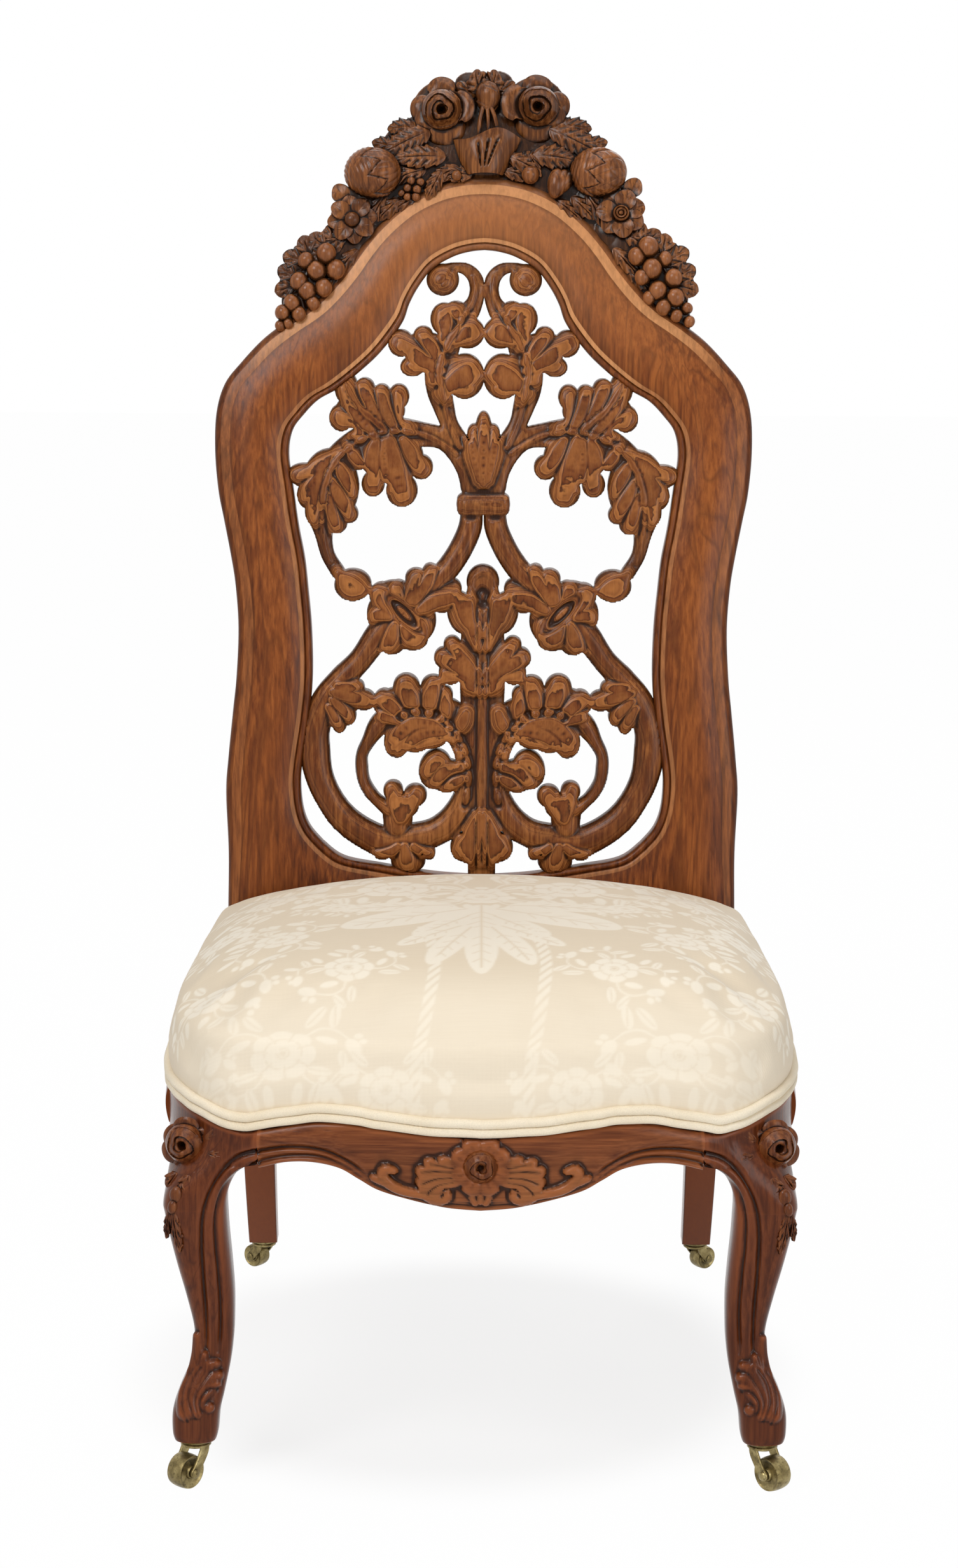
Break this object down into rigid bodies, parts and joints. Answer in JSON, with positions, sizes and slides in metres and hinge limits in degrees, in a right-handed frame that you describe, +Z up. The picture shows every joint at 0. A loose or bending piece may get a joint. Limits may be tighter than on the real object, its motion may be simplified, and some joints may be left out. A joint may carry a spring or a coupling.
{
  "type": "slipper chair",
  "caption": "Low side chair with a tall pierced and carved wooden back, a stuffed damask seat with a double welt, cabriole front legs and brass casters.",
  "frame": {"origin": "on the floor under the middle of the chair's bounding box", "axes": "+Z up; the front of the seat faces -Y; +X to the right of someone facing the front of the chair"},
  "size_m": [0.488, 0.6176, 1.0583],
  "materials": {
    "rosewood": "polished laminated rosewood, warm brown with a fine dark figure",
    "carved_rosewood": "polished carving, lighter on its ridges where the laminations show",
    "dark_rosewood": "polished, dark red-brown",
    "beech": "unpolished frame timber",
    "damask": "woven damask, ivory flowers on a deeper cream ground",
    "welt": "cord covered in plain ivory cloth",
    "jute": "coarse woven strip",
    "hessian": "coarse plain weave",
    "steel": "plain steel",
    "brass": "aged, olive gold"
  },
  "bodies": {
    "chair": {"back_rail": "beech", "back_screw_1": "steel", "back_screw_2": "steel", "back_screw_3": "steel", "back_screw_4": "steel", "back_surround": "rosewood", "back_tracery": "carved_rosewood", "caster_plate_front_left": "brass", "caster_plate_front_right": "brass", "caster_plate_rear_left": "brass", "caster_plate_rear_right": "brass", "crest_garland": "carved_rosewood", "front_block_left": "beech", "front_block_right": "beech", "front_block_screw_left": "steel", "front_block_screw_right": "steel", "front_leg_left": "rosewood", "front_leg_right": "rosewood", "front_rail": "rosewood", "rear_block_left": "beech", "rear_block_right": "beech", "rear_block_screw_left": "steel", "rear_block_screw_right": "steel", "rear_leg_left": "dark_rosewood", "rear_leg_right": "dark_rosewood", "seat_cushion": "damask", "seat_hessian": "hessian", "seat_spring_1": "steel", "seat_spring_2": "steel", "seat_spring_3": "steel", "seat_spring_4": "steel", "seat_spring_5": "steel", "seat_welt": "welt", "side_rail_left": "dark_rosewood", "side_rail_right": "dark_rosewood", "webbing_cross_1": "jute", "webbing_cross_2": "jute", "webbing_cross_3": "jute", "webbing_long_1": "jute", "webbing_long_2": "jute", "webbing_long_3": "jute"},
    "fork_front_left": {"caster_fork_front_left": "brass", "caster_axle_front_left": "brass"},
    "wheel_front_left": {"caster_wheel_front_left": "brass"},
    "fork_front_right": {"caster_fork_front_right": "brass", "caster_axle_front_right": "brass"},
    "wheel_front_right": {"caster_wheel_front_right": "brass"},
    "fork_rear_left": {"caster_fork_rear_left": "brass", "caster_axle_rear_left": "brass"},
    "wheel_rear_left": {"caster_wheel_rear_left": "brass"},
    "fork_rear_right": {"caster_fork_rear_right": "brass", "caster_axle_rear_right": "brass"},
    "wheel_rear_right": {"caster_wheel_rear_right": "brass"}
  },
  "joints": [
    {"name": "swivel_front_left", "type": "hinge", "parent": "chair", "child": "fork_front_left", "pos_m": [-0.21475, -0.26783, 0.0325], "axis": [0, 0, 1], "continuous": true},
    {"name": "spin_front_left", "type": "hinge", "parent": "fork_front_left", "child": "wheel_front_left", "pos_m": [-0.22228, -0.27652, 0.01324], "axis": [0.7557, -0.6549, 0], "continuous": true},
    {"name": "swivel_front_right", "type": "hinge", "parent": "chair", "child": "fork_front_right", "pos_m": [0.21475, -0.26783, 0.0325], "axis": [0, 0, 1], "continuous": true},
    {"name": "spin_front_right", "type": "hinge", "parent": "fork_front_right", "child": "wheel_front_right", "pos_m": [0.22228, -0.27652, 0.01324], "axis": [0.7557, 0.6549, 0], "continuous": true},
    {"name": "swivel_rear_left", "type": "hinge", "parent": "chair", "child": "fork_rear_left", "pos_m": [-0.194, 0.23217, 0.023], "axis": [0, 0, 1], "continuous": true},
    {"name": "spin_rear_left", "type": "hinge", "parent": "fork_rear_left", "child": "wheel_rear_left", "pos_m": [-0.2008, 0.23727, 0.0103], "axis": [-0.6, -0.8, 0], "continuous": true},
    {"name": "swivel_rear_right", "type": "hinge", "parent": "chair", "child": "fork_rear_right", "pos_m": [0.194, 0.23217, 0.023], "axis": [0, 0, 1], "continuous": true},
    {"name": "spin_rear_right", "type": "hinge", "parent": "fork_rear_right", "child": "wheel_rear_right", "pos_m": [0.2008, 0.23727, 0.0103], "axis": [-0.6, 0.8, 0], "continuous": true}
  ]
}
